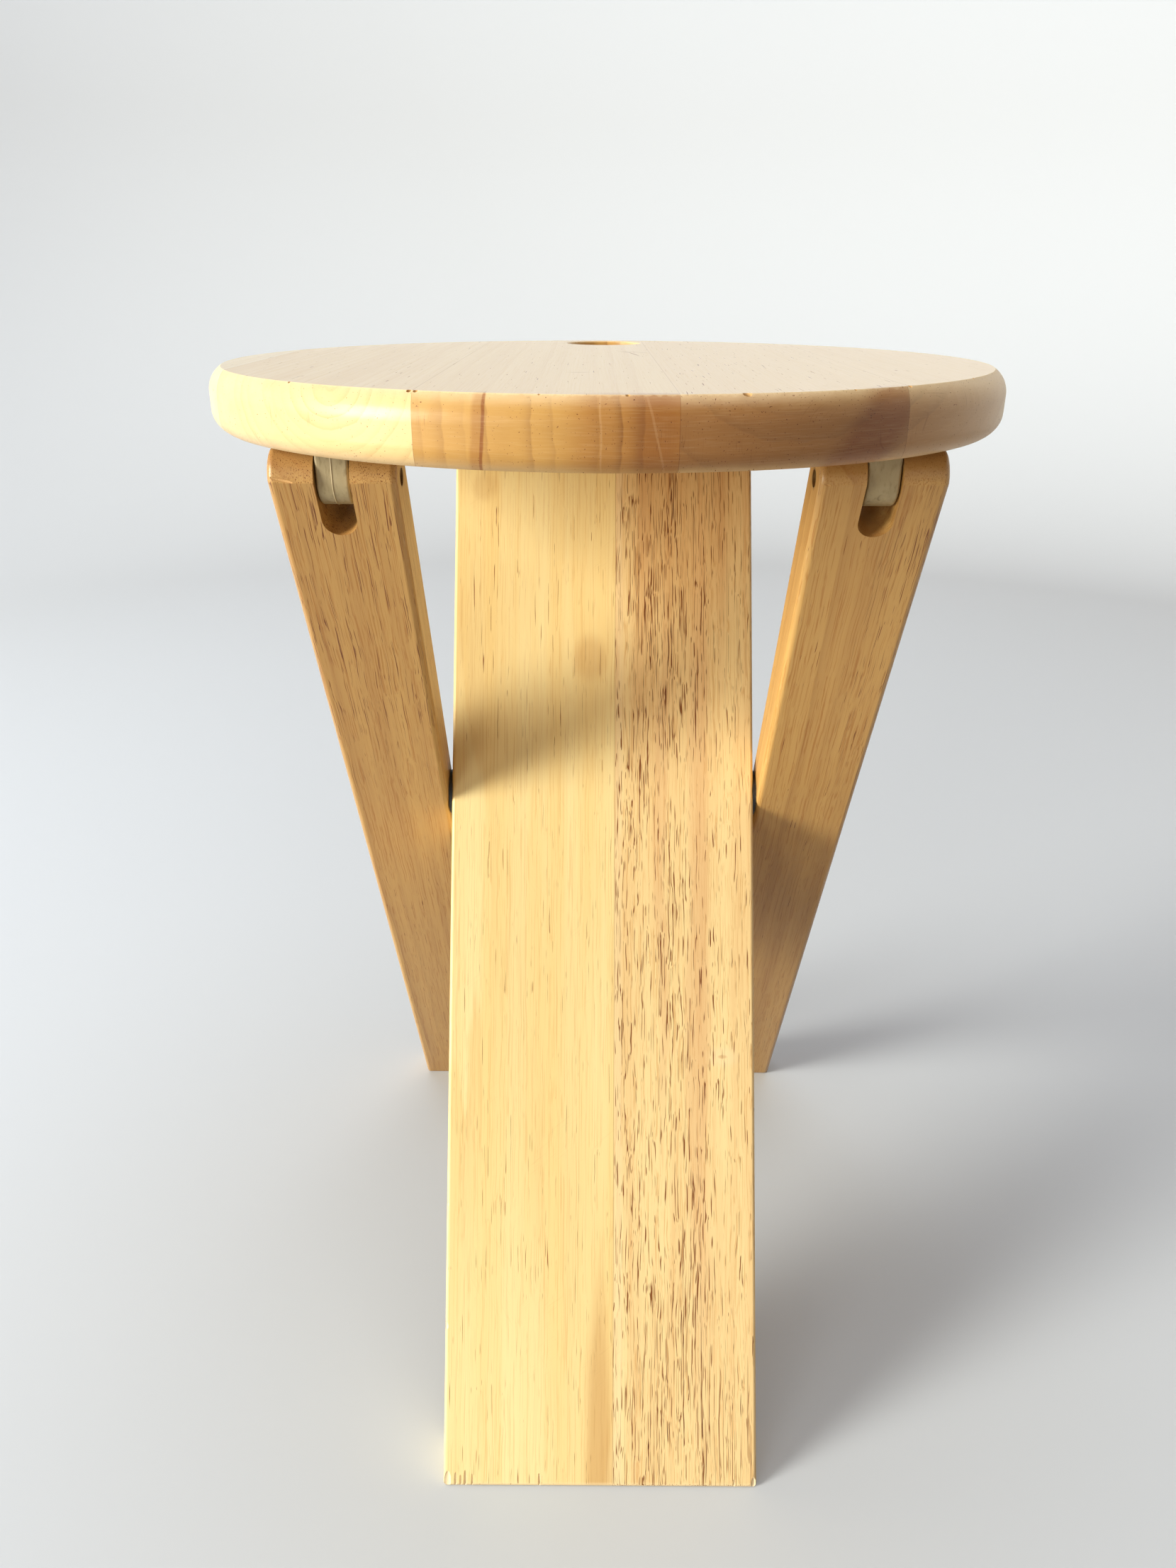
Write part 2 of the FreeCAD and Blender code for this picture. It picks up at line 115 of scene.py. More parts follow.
def use(tree, group, **sockets):
    """A node group placed in a material, with underscores for the spaces in its socket names."""
    named = {label.replace("_", " ").title(): value for label, value in sockets.items()}
    return add(tree, "Group", named, node_tree=group).outputs


def make_log_rings():
    """Growth rings round a pith that wanders along z, and the broad streaks of a sawn board."""
    tree, given, result = effect(
        "log_rings",
        {"Vector": (0.0, 0.0, 0.0), "Ring Width": 5.0, "Wander": 8.0},
        ["Rings", "Figure"],
    )
    drift = noise(tree, given["Vector"], lump=(60.0, 60.0, 380.0))["Color"]
    drift = vectors(tree, "SUBTRACT", drift, (0.5, 0.5, 0.5))
    drift = vectors(tree, "MULTIPLY", drift, vectors(tree, "MULTIPLY", (2.0, 2.0, 0.0), given["Wander"]))
    place = vectors(tree, "ADD", given["Vector"], drift)
    radius = vectors(tree, "LENGTH", vectors(tree, "MULTIPLY", place, (1.0, 1.0, 0.0)))
    uneven = noise(tree, given["Vector"], lump=(6.0, 6.0, 70.0), detail=2.0)[0]
    turn = maths(tree, "DIVIDE", radius, given["Ring Width"])
    ring_bulge, ring_sharpness, ring_end, seasons_per_ring = 0.4, 2.5, 0.9, 0.45
    turn = maths(tree, "MULTIPLY_ADD", uneven, ring_bulge, turn)
    saw = maths(tree, "FRACT", turn)
    late_wood = maths(tree, "POWER", saw, ring_sharpness)
    late_wood = maths(tree, "MULTIPLY", late_wood, ramp(tree, saw, 1.0, ring_end))
    sockets = {"W": turn, "Scale": seasons_per_ring, "Detail": 1.0}
    season = add(tree, "TexNoise", sockets, noise_dimensions="1D").outputs[0]
    rings = maths(tree, "MULTIPLY", late_wood, ramp(tree, season, 0.3, 0.8))
    figure = noise(tree, given["Vector"], lump=(8.0, 8.0, 240.0), detail=3.0)[0]
    tree.links.new(rings, result["Rings"])
    tree.links.new(figure, result["Figure"])
    return tree


def make_wood_pores():
    """Dark vessels, dashes along z and dots across it, and the hair-fine lines between them."""
    tree, given, result = effect(
        "wood_pores",
        {"Vector": (0.0, 0.0, 0.0), "Density": 0.3, "Width": 0.55, "Length": 8.0, "Sway": 1.5},
        ["Pores", "Fibres"],
    )
    bend = noise(tree, given["Vector"], lump=(9.0, 9.0, 26.0))["Color"]
    bend = vectors(tree, "MULTIPLY", bend, vectors(tree, "MULTIPLY", (1.0, 1.0, 0.0), given["Sway"]))
    place = vectors(tree, "ADD", given["Vector"], bend)
    lump = add(tree, "CombineXYZ", {0: given["Width"], 1: given["Width"], 2: given["Length"]}).outputs[0]
    vessel = noise(tree, place, lump, detail=1.0)[0]
    patch = noise(tree, given["Vector"], lump=(6.0, 6.0, 40.0))[0]
    patchiness, least_share = 1.4, 0.3
    no_pores, drop_per_share, soft_rim = 0.74, -0.13, 0.07
    crowding = maths(tree, "MULTIPLY_ADD", patch, patchiness, least_share)
    share = maths(tree, "MULTIPLY", given["Density"], crowding)
    start = maths(tree, "MULTIPLY_ADD", share, drop_per_share, no_pores)
    pores = ramp(tree, vessel, start, maths(tree, "ADD", start, soft_rim))
    fibres = noise(tree, place, lump=(0.45, 0.45, 60.0), detail=2.0)[0]
    tree.links.new(pores, result["Pores"])
    tree.links.new(fibres, result["Fibres"])
    return tree


def make_stripe():
    """One mark in a board: a streak, a line or a scratch about a centre, with the half sizes given."""
    tree, given, result = effect(
        "stripe",
        {"Vector": (0.0, 0.0, 0.0), "Centre": (0.0, 0.0, 0.0), "Size": (1.0, 1.0, 1.0),
         "Wobble": 0.0, "Slant": 0.0, "Lean": 0.0},
        ["Mask"],
    )
    full_inside = 0.4
    off = vectors(tree, "SUBTRACT", given["Vector"], given["Centre"])
    off = add(tree, "SeparateXYZ", {0: off}).outputs
    wobble = maths(tree, "SUBTRACT", noise(tree, given["Vector"], lump=(14.0, 14.0, 60.0))[0], 0.5)
    across = maths(tree, "MULTIPLY_ADD", wobble, given["Wobble"], off["X"])
    across = maths(tree, "SUBTRACT", across, maths(tree, "MULTIPLY", off["Z"], given["Slant"]))
    across = maths(tree, "SUBTRACT", across, maths(tree, "MULTIPLY", off["Y"], given["Lean"]))
    off = add(tree, "CombineXYZ", {0: across, 1: off["Y"], 2: off["Z"]}).outputs[0]
    reach = vectors(tree, "LENGTH", vectors(tree, "DIVIDE", off, given["Size"]))
    tree.links.new(ramp(tree, reach, 1.0, full_inside), result["Mask"])
    return tree


def make_edge_wear():
    """A broken band along an edge, from the distance to that edge in millimetres."""
    tree, given, result = effect(
        "edge_wear",
        {"Vector": (0.0, 0.0, 0.0), "Edge Distance": 0.0, "Reach": 1.2},
        ["Wear"],
    )
    rough = noise(tree, given["Vector"], lump=(2.0, 2.0, 6.0), detail=4.0)[0]
    unevenness, gaps, least_reach = 3.0, -0.9, 0.02
    rough = maths(tree, "MULTIPLY_ADD", rough, unevenness, gaps)
    rough = maths(tree, "MAXIMUM", rough, least_reach)
    reach = maths(tree, "MULTIPLY", given["Reach"], rough)
    tree.links.new(ramp(tree, given["Edge Distance"], reach, 0.0), result["Wear"])
    return tree


def make_scratches():
    """Fine scratches of two directions, in scattered patches."""
    tree, given, result = effect(
        "scratches",
        {"Vector": (0.0, 0.0, 0.0), "Amount": 0.5},
        ["Scratch"],
    )
    half_width, faded = 0.002, 0.012
    patch_edge, patch_full = 0.56, 0.68
    found = None
    for angle, seed in ((0.5, 11.0), (-0.9, 47.0)):
        sockets = {"Vector": given["Vector"], "Rotation": (0.0, angle, 0.0), "Location": (seed, 0.0, 0.0)}
        turned = add(tree, "Mapping", sockets).outputs[0]
        line = noise(tree, turned, lump=(1.1, 40.0, 42.0), detail=1.0)[0]
        line = maths(tree, "ABSOLUTE", maths(tree, "SUBTRACT", line, 0.5))
        line = ramp(tree, line, faded, half_width)
        patch = noise(tree, turned, lump=(16.0, 16.0, 26.0), detail=2.0)[0]
        line = maths(tree, "MULTIPLY", line, ramp(tree, patch, patch_edge, patch_full))
        found = line if found is None else maths(tree, "MAXIMUM", found, line)
    tree.links.new(maths(tree, "MULTIPLY", found, given["Amount"]), result["Scratch"])
    return tree


log_rings = make_log_rings()
wood_pores = make_wood_pores()
stripe = make_stripe()
edge_wear = make_edge_wear()
scratches = make_scratches()
TO_MILLIMETRES = (1000.0, 1000.0, 1000.0)
FAR = 1000.0
GLUE_HALF_WIDTH = 0.16
END_GRAIN = (0.35, 0.95)
FLAT_FACE = (0.85, 0.99)
STREAKS = (0.35, 0.75)
FIBRES = (0.48, 0.72)
SANDED = (0.45, 0.75)
SANDED_SHARE, GLUE_SHARE, WORN_SHARE, SCRATCHED_SHARE = 0.1, 0.5, 0.4, 0.6
THINNING_WIDTH = 12.0
FEWEST_PORES = 0.6
SATIN_ROUGHNESS = 0.36
FIBRE_ROUGHNESS, WORN_ROUGHNESS, PORE_ROUGHNESS = 0.16, 0.15, 0.2
FIBRE_RISE, SCRATCH_SINK = 0.25, -0.5
GRAIN_RELIEF = 0.0001
SCRATCHED_GLOSS = -0.2


def new_material(name):
    """An empty material, and its node tree."""
    material = bpy.data.materials.new(name)
    material.use_nodes = True
    material.node_tree.nodes.clear()
    return material, material.node_tree


def in_millimetres(tree):
    """The place on the surface, in the part's own frame."""
    return vectors(tree, "MULTIPLY", add(tree, "TexCoord").outputs["Object"], TO_MILLIMETRES)


def surface(tree, sockets):
    """The one shader of a material, joined to its output."""
    shader = add(tree, "BsdfPrincipled", sockets)
    add(tree, "OutputMaterial", {"Surface": shader.outputs[0]})


def dress(piece, material):
    """The piece with this one material all over."""
    piece.data.materials.clear()
    piece.data.materials.append(material)


def wood(name, turn, pith, tones, rings, pores, edge, lines=0.3, scuffs=0.5, glue=(), marks=(),
         thin_from=None, long_pores=(), sanding=None, end_shade=0.4, gloss=0.15, flat_gloss=0.3):
    """Lacquered hardwood whose grain lies along z once the board is turned, measured in millimetres."""
    material, tree = new_material(name)
    coordinates = add(tree, "TexCoord").outputs
    sockets = {"Rotation": turn, "Scale": TO_MILLIMETRES, "Vector": coordinates["Object"]}
    board = add(tree, "Mapping", sockets).outputs[0]
    log = vectors(tree, "SUBTRACT", board, pith)
    sockets = {"Rotation": turn, "Vector": coordinates["Normal"]}
    normal = add(tree, "Mapping", sockets, vector_type="VECTOR").outputs[0]
    normal = add(tree, "SeparateXYZ", {0: vectors(tree, "ABSOLUTE", normal)}).outputs
    end_grain = ramp(tree, normal["Z"], *END_GRAIN)

    ring = use(tree, log_rings, vector=log, **rings)
    if thin_from is not None:
        across = add(tree, "SeparateXYZ", {0: board}).outputs["X"]
        crowd = ramp(tree, across, thin_from + THINNING_WIDTH, thin_from)
        crowd = maths(tree, "MULTIPLY_ADD", crowd, 1.0 - FEWEST_PORES, FEWEST_PORES)
        pores = pores | {"density": maths(tree, "MULTIPLY", crowd, pores["density"])}
    pore = use(tree, wood_pores, vector=log, **pores)
    wear = use(tree, edge_wear, vector=board, edge_distance=edge(tree, board))["Wear"]
    scratch = use(tree, scratches, vector=board, amount=scuffs)["Scratch"]

    colour = mix(tree, ring["Rings"], tones["early"], tones["late"])
    colour = mix(tree, ramp(tree, ring["Figure"], *STREAKS), colour, tones["streak"])
    fibre = maths(tree, "MULTIPLY", ramp(tree, pore["Fibres"], *FIBRES), lines)
    colour = stain(tree, fibre, colour, tones["line"])
    end_colour = mix(tree, ring["Rings"], tones["end"], tones["end_late"])
    colour = mix(tree, maths(tree, "MULTIPLY", end_grain, end_shade), colour, end_colour)
    for shade, strength, sizes in marks:
        mask = use(tree, stripe, vector=board, **sizes)["Mask"]
        blend = stain if shade in ("pore", "dark") else mix
        colour = blend(tree, maths(tree, "MULTIPLY", mask, strength), colour, tones[shade])
    if sanding is not None:
        sanded = ramp(tree, noise(tree, board, sanding, detail=3.0)[0], *SANDED)
        colour = mix(tree, maths(tree, "MULTIPLY", sanded, SANDED_SHARE), colour, tones["early"])
    colour = stain(tree, pore["Pores"], colour, tones["pore"])
    for zone, sizes in long_pores:
        drawn_out = use(tree, wood_pores, vector=log, **sizes)["Pores"]
        drawn_out = maths(tree, "MULTIPLY", drawn_out, use(tree, stripe, vector=board, **zone)["Mask"])
        colour = stain(tree, drawn_out, colour, tones["pore"])
    for line_x in glue:
        sizes = dict(centre=(line_x, 0.0, 0.0), size=(GLUE_HALF_WIDTH, FAR, FAR), wobble=0.1)
        mask = use(tree, stripe, vector=board, **sizes)["Mask"]
        colour = stain(tree, maths(tree, "MULTIPLY", mask, GLUE_SHARE), colour, tones["pore"])
    colour = mix(tree, maths(tree, "MULTIPLY", wear, WORN_SHARE), colour, tones["worn"])
    colour = stain(tree, maths(tree, "MULTIPLY", scratch, SCRATCHED_SHARE), colour, tones["pore"])

    roughness = maths(tree, "MULTIPLY_ADD", pore["Fibres"], FIBRE_ROUGHNESS, SATIN_ROUGHNESS)
    roughness = maths(tree, "MULTIPLY_ADD", wear, WORN_ROUGHNESS, roughness)
    roughness = maths(tree, "MULTIPLY_ADD", pore["Pores"], PORE_ROUGHNESS, roughness)
    height = maths(tree, "MULTIPLY_ADD", pore["Fibres"], FIBRE_RISE, 1.0)
    height = maths(tree, "SUBTRACT", height, pore["Pores"])
    height = maths(tree, "MULTIPLY_ADD", scratch, SCRATCH_SINK, height)
    bump = add(tree, "Bump", {"Height": height, "Strength": 0.4, "Distance": GRAIN_RELIEF}).outputs[0]
    flat = ramp(tree, normal["Y"], *FLAT_FACE)
    polish = maths(tree, "MULTIPLY_ADD", flat, flat_gloss - gloss, gloss)
    polish = maths(tree, "MULTIPLY_ADD", scratch, SCRATCHED_GLOSS, polish)
    surface(tree, {
        "Base Color": colour, "Roughness": roughness, "Normal": bump,
        "Coat Weight": polish, "Coat Roughness": 0.26, "Specular IOR Level": 0.35,
    })
    return material


def bare_wood(name, dark, light):
    """Torn or crushed wood inside a chip, where the lacquer has gone."""
    material, tree = new_material(name)
    place = in_millimetres(tree)
    torn = noise(tree, place, lump=(0.3, 0.3, 1.2), detail=3.0)[0]
    colour = mix(tree, torn, dark, light)
    bump = add(tree, "Bump", {"Height": torn, "Strength": 0.6, "Distance": 0.0002}).outputs[0]
    surface(tree, {"Base Color": colour, "Roughness": 0.75, "Normal": bump})
    return material


DENT_LUMPS = (0.88, 1.1)
WELD_DISTANCE = 0.000001
SHARP_ANGLE = math.radians(28)


def dent_cutter(cutters, place, half_sizes, seed, turn=Matrix.Identity(4)):
    """A lumpy ball, to be cut out of an edge as a knock."""
    chance = random.Random(seed)
    ball = bmesh.ops.create_icosphere(cutters, subdivisions=2, radius=1.0)["verts"]
    for point in ball:
        point.co *= chance.uniform(*DENT_LUMPS)
    grown = Matrix.Diagonal((*half_sizes, 1.0))
    bmesh.ops.transform(cutters, verts=ball, matrix=Matrix.Translation(place) @ turn @ grown)


def shaped_piece(node, body, material, tools, tool_material, operation="DIFFERENCE"):
    """The node's own surface, cut by the tools or joined with them, shown in the node's place."""
    skin = bmesh.new()
    skin.from_mesh(frame["nodes"][node].data)
    bmesh.ops.remove_doubles(skin, verts=skin.verts, dist=WELD_DISTANCE)
    piece = bpy.data.objects.new(f"{node}_worn", bpy.data.meshes.new(f"{node}_worn"))
    skin.to_mesh(piece.data)
    skin.free()
    if "custom_normal" in piece.data.attributes:
        piece.data.attributes.remove(piece.data.attributes["custom_normal"])
    bpy.context.scene.collection.objects.link(piece)
    dress(piece, material)
    tool = bpy.data.objects.new("tool", bpy.data.meshes.new("tool"))
    bmesh.ops.recalc_face_normals(tools, faces=tools.faces)
    tools.to_mesh(tool.data)
    tools.free()
    tool.data.materials.append(tool_material)
    bpy.context.scene.collection.objects.link(tool)
    change = piece.modifiers.new("change", "BOOLEAN")
    change.operation = operation
    change.solver = "EXACT"
    change.material_mode = "TRANSFER"
    change.object = tool
    seen = piece.evaluated_get(bpy.context.evaluated_depsgraph_get())
    piece.data = bpy.data.meshes.new_from_object(seen)
    piece.modifiers.clear()
    bpy.data.objects.remove(tool)
    piece.data.shade_smooth()
    piece.data.set_sharp_from_angle(angle=SHARP_ANGLE)
    piece.modifiers.new("even_shading", "WEIGHTED_NORMAL").keep_sharp = True
    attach(piece, body)
    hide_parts(node)


bruised_wood = bare_wood("bruised_wood", tone(196, 154, 98), tone(222, 186, 132))
SEAT_TOP_RADIUS = 145.2
SEAT_HEIGHT = 450.0
ALONG_Y = (math.radians(90), 0.0, 0.0)


def seat_edge(tree, board):
    """The distance to the edge round the seat's top face; the turned board's y is down, its z the rear."""
    axes = add(tree, "SeparateXYZ", {0: board}).outputs
    flat = add(tree, "CombineXYZ", {0: axes["X"], 1: axes["Z"]}).outputs[0]
    radius = vectors(tree, "LENGTH", flat)
    inward = maths(tree, "ABSOLUTE", maths(tree, "SUBTRACT", radius, SEAT_TOP_RADIUS))
    down = maths(tree, "ABSOLUTE", maths(tree, "ADD", axes["Y"], SEAT_HEIGHT))
    return maths(tree, "MAXIMUM", inward, down)


ALL_WOOD = dict(
    pore=tone(146, 92, 52), line=tone(216, 182, 140), worn=tone(248, 230, 190), dark=tone(192, 146, 96),
    end=tone(196, 142, 84), end_late=tone(160, 106, 56),
)
ON_TOP = -SEAT_HEIGHT
MID_RIM = ON_TOP + 10.0
SANDING = (8.0, 0.4, 8.0)
# Pale, low-contrast top tones with extra blue: partly the staves' own tone and partly a painted sheen,
# standing in for the wall's reflection on the lacquered top.
TOP_TONES_WITH_SHEEN = dict(early=tone(238, 215, 172), late=tone(224, 192, 144), streak=tone(232, 205, 160))
STAVES = {
    "left_edge": dict(
        pith=(-190.0, -440.0, 0.0),
        # Whiter than the other staves: partly the stave's own pale tone and partly a painted highlight on its
        # rim.
        tones=dict(early=tone(243, 227, 192), late=tone(230, 206, 164), streak=tone(238, 218, 178),
                   end=tone(236, 212, 164), end_late=tone(214, 180, 126)),
    ),
    "left": dict(
        pith=(-82.0, -452.0, 130.0), ring_width=3.6,
        tones=dict(end=tone(238, 210, 154), end_late=tone(196, 148, 86)),
    ),
    "middle": dict(
        pith=(-190.0, -432.0, 320.0),
        tones=dict(early=tone(236, 211, 166), end=tone(198, 153, 82), end_late=tone(150, 104, 49)),
        marks=[
            ("dark", 0.8,
             dict(centre=(-36.0, MID_RIM, -146.0), size=(0.7, FAR, 12.0), wobble=3.0, lean=-0.06)),
            ("dark", 0.4,
             dict(centre=(-37.5, MID_RIM, -146.0), size=(2.6, FAR, 12.0), wobble=3.0, lean=-0.06)),
            ("worn", 0.3, dict(centre=(12.5, MID_RIM, -148.0), size=(0.5, FAR, 12.0), wobble=1.5, lean=0.24)),
            ("worn", 0.2, dict(centre=(-3.0, MID_RIM, -149.0), size=(0.4, FAR, 12.0), wobble=2.0)),
            # painted shade: two broad dark marks darken the rim across the middle and right of this stave,
            # where it turns away from the key light
            ("dark", 0.5, dict(centre=(6.0, MID_RIM, -149.0), size=(24.0, FAR, 12.0), wobble=4.0)),
            ("dark", 0.5, dict(centre=(17.0, MID_RIM, -149.0), size=(16.0, FAR, 12.0), wobble=4.0)),
            ("pore", 1.0, dict(centre=(13.0, ON_TOP, 49.0), size=(0.6, 1.0, 10.0), slant=-0.78)),
            ("pore", 1.0, dict(centre=(9.0, ON_TOP, 47.0), size=(0.5, 1.0, 8.0), slant=-0.5)),
            ("pore", 0.9, dict(centre=(12.0, ON_TOP, 34.0), size=(0.5, 1.0, 16.0), slant=-0.16)),
            ("pore", 0.9, dict(centre=(-10.0, ON_TOP, -66.0), size=(5.0, 1.0, 0.6))),
        ],
    ),
    "right": dict(
        pith=(55.0, -482.0, 510.0), density=0.4,
        tones=dict(early=tone(234, 207, 162), end=tone(154, 105, 52), end_late=tone(112, 70, 31)),
        marks=[
            ("dark", 0.7, dict(centre=(78.0, -438.0, -127.0), size=(17.0, FAR, 16.0), wobble=6.0, lean=-0.9)),
            ("pore", 0.6, dict(centre=(62.0, ON_TOP, -40.0), size=(1.2, 1.0, 0.6))),
        ],
    ),
    "right_edge": dict(
        pith=(60.0, -500.0, 740.0),
        tones=dict(early=tone(234, 207, 162), end=tone(164, 115, 62), end_late=tone(124, 80, 39)),
        marks=[("pore", 0.9, dict(centre=(101.0, ON_TOP, -52.0), size=(0.7, 1.0, 1.4)))],
    ),
}
KNOCKS = {
    "left": [(-57.5, 0.9), (-98.0, 0.6)],
    "middle": [(4.5, 0.7), (-55.5, 0.8), (-20.0, 0.4)],
    "right": [(38.0, 1.4), (71.0, 0.5)],
    "right_edge": [(90.0, 0.8), (118.0, 0.5)],
}
KNOCK_FORWARD = 0.2
KNOCK_SEEDS = 10
GLUE_REACH = 1.0
GLUE_LINES = sorted({round(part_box(f"seat_stave_{place}")[0].x * 1000, 3) for place in STAVES})[1:]
for number, (place, stave) in enumerate(STAVES.items()):
    node = f"seat_stave_{place}"
    low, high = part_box(node)
    material = wood(
        f"seat_wood_{place}", ALONG_Y, stave["pith"], ALL_WOOD | TOP_TONES_WITH_SHEEN | stave["tones"],
        rings=dict(ring_width=stave.get("ring_width", 6.5), wander=5.0),
        pores=dict(density=stave.get("density", 0.2), width=0.5, length=14.0, sway=1.0), lines=0.1,
        edge=seat_edge, scuffs=0.45, marks=stave.get("marks", ()), sanding=SANDING,
        end_shade=0.95, gloss=0.25, flat_gloss=0.95,
        glue=[x for x in GLUE_LINES if low.x * 1000 - GLUE_REACH < x < high.x * 1000 + GLUE_REACH],
    )
    cutters = bmesh.new()
    for seed, (x, size) in enumerate(KNOCKS.get(place, ())):
        y = -math.sqrt(SEAT_TOP_RADIUS ** 2 - x ** 2)
        knock = Vector((x, y - KNOCK_FORWARD, SEAT_HEIGHT)) / 1000
        dent_cutter(cutters, knock, [size / 1000] * 3, number * KNOCK_SEEDS + seed)
    if cutters.verts:
        shaped_piece(node, "seat", material, cutters, bruised_wood)
    else:
        dress(frame["nodes"][node], material)


# Hinge leaves: cream nylon mouldings screwed under the seat's front, with a round eye for the pin. The
# mould left a parting line down one leaf and an ejector's round mark on the other, and years of use have
# left the nylon cloudy and specked with grime.
CREAM, CREAM_SHADE, NYLON_GRIME = tone(184, 173, 142), tone(158, 145, 113), tone(126, 112, 80)
RIDGE_STEPS = 24
RIDGE_SWEEP = math.radians(100)
RIDGE_INSET = 0.0004
RIDGE_HALF_WIDTH = 0.0003
RIDGE_RISE = 0.0002
RIDGE_ROOT = 0.0006
EJECTOR_TURN = math.radians(35)
EJECTOR_RADIUS = 0.0014
EJECTOR_DEPTH = 0.00025


def make_nylon():
    """Aged cream nylon, cloudy, with specks of grime."""
    material, tree = new_material("cream_nylon")
    place = in_millimetres(tree)
    cloud = noise(tree, place, lump=(3.0, 3.0, 6.0), detail=4.0)[0]
    grime_and_shade = ramp(tree, noise(tree, place, lump=(1.2, 1.2, 3.0), detail=4.0)[0], 0.5, 0.75)
    colour = mix(tree, cloud, CREAM, CREAM_SHADE)
    colour = mix(tree, maths(tree, "MULTIPLY", grime_and_shade, 0.5), colour, NYLON_GRIME)
    roughness = maths(tree, "MULTIPLY_ADD", cloud, 0.2, 0.34)
    bump = add(tree, "Bump", {"Height": grime_and_shade, "Strength": 0.3, "Distance": 0.0001}).outputs[0]
    surface(tree, {"Base Color": colour, "Roughness": roughness, "Normal": bump})
    return material


def parting_line(middle_x, front, top, pin):
    """A fine ridge down the front of a leaf and round its eye, with its inner half inside the nylon."""
    eye_radius = pin.y - front
    path = [(Vector((0.0, front, top - RIDGE_INSET)), Vector((0.0, -1.0, 0.0)))]
    for step in range(RIDGE_STEPS + 1):
        turn = RIDGE_SWEEP * step / RIDGE_STEPS
        out = Vector((0.0, -math.cos(turn), -math.sin(turn)))
        path.append((pin + out * eye_radius, out))
    ridge = bmesh.new()
    rings = []
    for point, out in path:
        rings.append([
            ridge.verts.new((middle_x + x, *(point + out * rise).yz))
            for x, rise in ((-RIDGE_HALF_WIDTH, -RIDGE_ROOT), (-RIDGE_HALF_WIDTH, 0.0), (0.0, RIDGE_RISE),
                            (RIDGE_HALF_WIDTH, 0.0), (RIDGE_HALF_WIDTH, -RIDGE_ROOT))
        ])
    for ring, after in zip(rings[:-1], rings[1:]):
        for corner in range(len(ring)):
            ridge.faces.new((ring[corner], ring[corner - 1], after[corner - 1], after[corner]))
    ridge.faces.new(rings[0])
    ridge.faces.new(rings[-1])
    return ridge


def ejector_mark(middle_x, front, pin):
    """A shallow round cutter low on the front of a leaf's eye."""
    out = Vector((0.0, -math.cos(EJECTOR_TURN), -math.sin(EJECTOR_TURN)))
    place = pin + out * (pin.y - front)
    place.x = middle_x
    mark = bmesh.new()
    bmesh.ops.create_cone(
        mark, cap_ends=True, segments=32,
        radius1=EJECTOR_RADIUS, radius2=EJECTOR_RADIUS, depth=2 * EJECTOR_DEPTH,
        matrix=Matrix.Translation(place) @ out.to_track_quat("Z", "Y").to_matrix().to_4x4(),
    )
    return mark


cream_nylon = make_nylon()
seat_fold = next(joint for joint in frame["joints"] if joint["name"] == "seat_fold")
pin = Vector(seat_fold["pos_m"])
for side in ("left", "right"):
    node = f"hinge_leaf_{side}"
    low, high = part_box(node)
    middle_x = (low.x + high.x) / 2
    if side == "left":
        tools, operation = parting_line(middle_x, low.y, high.z, pin), "UNION"
    else:
        tools, operation = ejector_mark(middle_x, low.y, pin), "DIFFERENCE"
    shaped_piece(node, "seat", cream_nylon, tools, cream_nylon, operation)


# Screws, pins, sleeves and bolts: turned steel with a thin zinc plating, a little dulled and mottled. The
# pins' ends lie deep in their holes and the bolts' sockets are open, so both are painted near-black as shade.
RECESS_SHADE_TONE = tone(44, 38, 32)
ZINC_TONES = (tone(206, 204, 196), tone(158, 154, 142))
PIN_SHADE_TONES = (tone(52, 46, 40), tone(30, 26, 22))
HEX_KEY_DEPTH = 2.6
SOCKET_REACH = (2.9, 6.0, 6.0)


def plated_steel(name, bright, dull, grime_and_shade=None):
    """Zinc on turned steel, painted near-black as shade where a recess is given."""
    material, tree = new_material(name)
    place = in_millimetres(tree)
    bloom = noise(tree, place, lump=(1.5, 1.5, 1.5), detail=4.0)[0]
    turned = noise(tree, place, lump=(0.15, 4.0, 4.0), detail=1.0)[0]
    colour = mix(tree, bloom, bright, dull)
    roughness = maths(tree, "MULTIPLY_ADD", bloom, 0.25, 0.22)
    # painted shade: the given recess is painted near-black
    if grime_and_shade is not None:
        mask = use(tree, stripe, vector=place, **grime_and_shade)["Mask"]
        colour = mix(tree, mask, colour, RECESS_SHADE_TONE)
        roughness = maths(tree, "MULTIPLY_ADD", mask, 0.3, roughness)
    bump = add(tree, "Bump", {"Height": turned, "Strength": 0.3, "Distance": 0.00005}).outputs[0]
    surface(tree, {"Base Color": colour, "Roughness": roughness, "Normal": bump, "Metallic": 1.0})
    return material


zinc_steel = plated_steel("zinc_steel", *ZINC_TONES)
# painted shade: the pins' steel is near-black all over, as it lies deep in the holes
pin_steel_painted_shade = plated_steel("pin_steel_painted_shade", *PIN_SHADE_TONES)
for side in ("left", "right"):
    low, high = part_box(f"pivot_bolt_{side}")
    socket = (low + high) * 500
    socket.x = low.x * 1000 + HEX_KEY_DEPTH if side == "left" else high.x * 1000 - HEX_KEY_DEPTH
    # painted shade: each bolt's open hex socket is painted near-black
    bolt_steel = plated_steel(f"bolt_steel_{side}", *ZINC_TONES, dict(centre=socket, size=SOCKET_REACH))
    for kind, steel in (
        ("hinge_screws", zinc_steel), ("stop_screws", zinc_steel), ("hinge_pin", pin_steel_painted_shade),
        ("pivot_sleeve", zinc_steel), ("pivot_bolt", bolt_steel),
    ):
        dress(frame["nodes"][f"{kind}_{side}"], steel)


